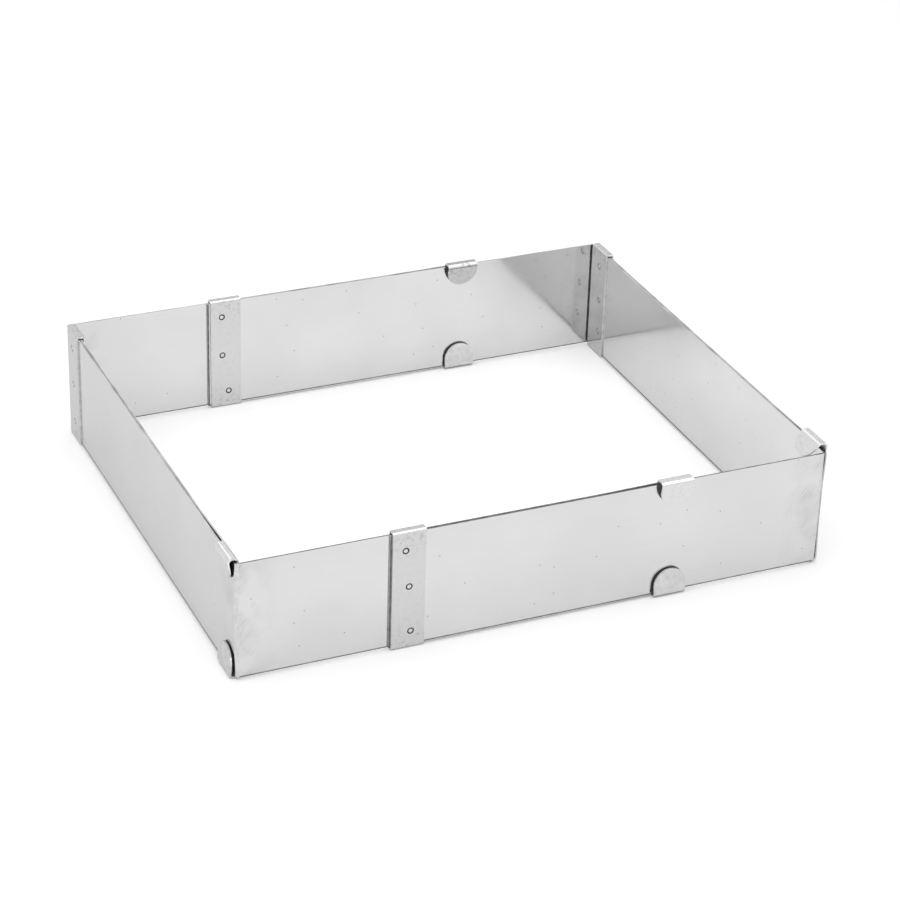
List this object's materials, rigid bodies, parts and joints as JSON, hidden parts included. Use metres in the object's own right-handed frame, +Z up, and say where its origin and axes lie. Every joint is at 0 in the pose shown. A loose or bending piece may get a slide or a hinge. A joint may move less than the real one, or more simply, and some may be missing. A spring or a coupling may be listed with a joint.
{
  "type": "adjustable cake frame",
  "caption": "Rectangular cake frame of overlapping steel angles that slide in folded straps and hook tabs, so its width and depth can be set around batter or dough.",
  "frame": {"origin": "middle of the footprint, on the surface that the frame stands on", "axes": "+X along the front wall towards the front right corner, +Y from the front wall to the back wall, +Z up"},
  "size_m": [0.2554, 0.2192, 0.0549],
  "materials": {
    "sheet": "bright cold-rolled stainless sheet",
    "strap": "folded stainless strip, slightly duller than the sheet",
    "weld": "pressed spot weld with a dull rim"
  },
  "bodies": {
    "front_left": {"front_left_angle": "sheet", "left_strap": "strap", "left_weld_upper": "weld", "left_weld_middle": "weld", "left_weld_lower": "weld"},
    "front_right": {"front_right_angle": "sheet", "front_strap": "strap", "front_weld_upper": "weld", "front_weld_middle": "weld", "front_weld_lower": "weld", "right_strap": "strap", "right_weld_upper": "weld", "right_weld_middle": "weld", "right_weld_lower": "weld"},
    "back_left": {"back_left_angle": "sheet"},
    "back_right": {"back_right_angle": "sheet", "back_strap": "strap", "back_weld_upper": "weld", "back_weld_middle": "weld", "back_weld_lower": "weld"}
  },
  "joints": [
    {"name": "width_slide", "type": "slide", "parent": "front_left", "child": "front_right", "axis": [1, 0, 0], "range_m": [-0.0521, 0.0985]},
    {"name": "depth_slide", "type": "slide", "parent": "front_left", "child": "back_left", "axis": [0, 1, 0], "range_m": [0, 0.1823]},
    {"name": "back_width_slide", "type": "slide", "parent": "back_left", "child": "back_right", "axis": [1, 0, 0], "range_m": [-0.0521, 0.0985]}
  ],
  "couplings": [
    {"joint": "back_width_slide", "follows": "width_slide", "ratio": 1}
  ]
}
